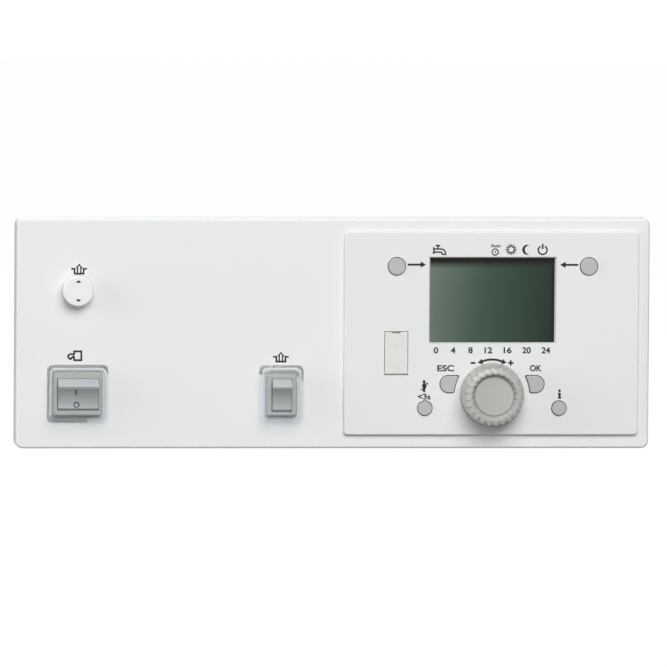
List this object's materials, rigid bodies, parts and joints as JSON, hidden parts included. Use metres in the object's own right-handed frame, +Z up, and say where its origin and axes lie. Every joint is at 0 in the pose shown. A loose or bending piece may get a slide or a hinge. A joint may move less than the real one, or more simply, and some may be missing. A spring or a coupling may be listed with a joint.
{
  "type": "boiler control panel",
  "caption": "Control panel of a floor-standing condensing boiler: display, keys, turning knob, booted rocker switches and a capped safety limiter, in a moulded fascia.",
  "frame": {"origin": "centre of the fascia's rear rim, in the plane where it seats on the boiler's casing", "axes": "+X to the right along the panel, +Z up, -Y out of the panel towards the user"},
  "size_m": [0.31, 0.0495, 0.1124],
  "materials": {
    "panel_white": "fine satin",
    "unit_white": "fine satin",
    "housing_grey": "matt",
    "key_grey": "satin",
    "knob_grey": "satin",
    "flap_translucent": "satin, translucent",
    "cap_white": "satin",
    "switch_grey": "satin",
    "rocker_grey": "satin",
    "boot_clear": "clear, glossy",
    "display_glass": "polished",
    "light_guide": "polished",
    "black_rubber": "matt",
    "board_green": "solder mask",
    "black_plastic": "matt",
    "steel": "zinc plated",
    "brass": "bright",
    "clamp_zinc": "cast",
    "nylon": "matt",
    "reset_red": "satin"
  },
  "bodies": {
    "panel": {"fascia_panel": "panel_white", "operator_frame": "unit_white", "rear_housing": "housing_grey", "housing_screws": "steel", "circuit_board": "board_green", "board_screws": "steel", "board_chips": "black_plastic", "capacitors": "black_plastic", "bus_header": "black_plastic", "header_pins": "brass", "service_socket": "black_plastic", "key_switches": "black_plastic", "display_cell": "display_glass", "backlight_plate": "light_guide", "contact_strips": "black_rubber", "display_holder": "housing_grey", "panel_clamps": "clamp_zinc", "clamp_screws": "steel", "encoder_base": "black_plastic", "encoder_bush": "steel", "main_boot": "boot_clear", "main_frame": "switch_grey", "main_base": "black_plastic", "main_terminals": "brass", "test_boot": "boot_clear", "test_frame": "switch_grey", "test_base": "black_plastic", "test_terminals": "brass", "limiter_body": "black_plastic", "limiter_nut": "steel", "limiter_gland": "brass", "limiter_terminals": "brass", "reset_spring": "steel"},
    "knob": {"control_knob": "knob_grey", "knob_disc": "knob_grey", "encoder_shaft": "steel"},
    "hot_water_button": {"hot_water_key": "key_grey", "hot_water_plunger": "black_plastic"},
    "heating_button": {"heating_key": "key_grey", "heating_plunger": "black_plastic"},
    "sweep_button": {"sweep_key": "key_grey", "sweep_plunger": "black_plastic"},
    "info_button": {"info_key": "key_grey", "info_plunger": "black_plastic"},
    "escape_button": {"escape_key": "key_grey", "escape_plunger": "black_plastic"},
    "accept_button": {"accept_key": "key_grey", "accept_plunger": "black_plastic"},
    "flap": {"service_flap": "flap_translucent"},
    "main_rocker": {"main_rocker": "rocker_grey", "main_plunger": "nylon", "main_spring": "steel"},
    "main_contacts": {"main_contact_arm": "brass"},
    "test_rocker": {"test_rocker": "rocker_grey", "test_plunger": "nylon", "test_spring": "steel"},
    "test_contacts": {"test_contact_arm": "brass"},
    "cap_seal": {"cap_seal": "black_rubber"},
    "cap": {"limiter_cap": "cap_white"},
    "reset": {"reset_pin": "reset_red"}
  },
  "joints": [
    {"name": "knob_turn", "type": "hinge", "parent": "panel", "child": "knob", "pos_m": [0.0779, -0.0165, -0.0298], "axis": [0, -1, 0], "continuous": true},
    {"name": "hot_water_press", "type": "slide", "parent": "panel", "child": "hot_water_button", "axis": [0, 1, 0], "range_m": [0, 0.0007], "stiffness_N_per_m": 1500, "springref_m": -0.0004},
    {"name": "heating_press", "type": "slide", "parent": "panel", "child": "heating_button", "axis": [0, 1, 0], "range_m": [0, 0.0007], "stiffness_N_per_m": 1500, "springref_m": -0.0004},
    {"name": "sweep_press", "type": "slide", "parent": "panel", "child": "sweep_button", "axis": [0, 1, 0], "range_m": [0, 0.0007], "stiffness_N_per_m": 1500, "springref_m": -0.0004},
    {"name": "info_press", "type": "slide", "parent": "panel", "child": "info_button", "axis": [0, 1, 0], "range_m": [0, 0.0007], "stiffness_N_per_m": 1500, "springref_m": -0.0004},
    {"name": "escape_press", "type": "slide", "parent": "panel", "child": "escape_button", "axis": [0, 1, 0], "range_m": [0, 0.0007], "stiffness_N_per_m": 1500, "springref_m": -0.0004},
    {"name": "accept_press", "type": "slide", "parent": "panel", "child": "accept_button", "axis": [0, 1, 0], "range_m": [0, 0.0007], "stiffness_N_per_m": 1500, "springref_m": -0.0004},
    {"name": "flap_open", "type": "hinge", "parent": "panel", "child": "flap", "pos_m": [0.0308, -0.015, -0.01897], "axis": [1, 0, 0], "range_deg": [0, 90]},
    {"name": "main_rock", "type": "hinge", "parent": "panel", "child": "main_rocker", "pos_m": [-0.1248, -0.015, -0.0294], "axis": [1, 0, 0], "range_deg": [-26, 0]},
    {"name": "main_contact_tilt", "type": "hinge", "parent": "panel", "child": "main_contacts", "pos_m": [-0.1248, -0.004, -0.0294], "axis": [1, 0, 0], "range_deg": [0, 16]},
    {"name": "test_rock", "type": "hinge", "parent": "panel", "child": "test_rocker", "pos_m": [-0.0252, -0.015, -0.0298], "axis": [1, 0, 0], "range_deg": [-26, 0], "stiffness_Nm_per_rad": 0.02, "springref_deg": 17.19},
    {"name": "test_contact_tilt", "type": "hinge", "parent": "panel", "child": "test_contacts", "pos_m": [-0.0252, -0.004, -0.0298], "axis": [1, 0, 0], "range_deg": [0, 16]},
    {"name": "cap_lift", "type": "slide", "parent": "panel", "child": "cap_seal", "axis": [0, -1, 0], "range_m": [0, 0.03]},
    {"name": "cap_turn", "type": "hinge", "parent": "cap_seal", "child": "cap", "pos_m": [-0.1251, -0.0143, 0.0211], "axis": [0, -1, 0], "continuous": true},
    {"name": "reset_press", "type": "slide", "parent": "panel", "child": "reset", "axis": [0, 1, 0], "range_m": [0, 0.0015], "stiffness_N_per_m": 400, "springref_m": -0.001, "deforming": ["reset_spring"]}
  ],
  "couplings": [
    {"joint": "main_contact_tilt", "follows": "main_rock", "ratio": -0.61538},
    {"joint": "test_contact_tilt", "follows": "test_rock", "ratio": -0.61538}
  ]
}
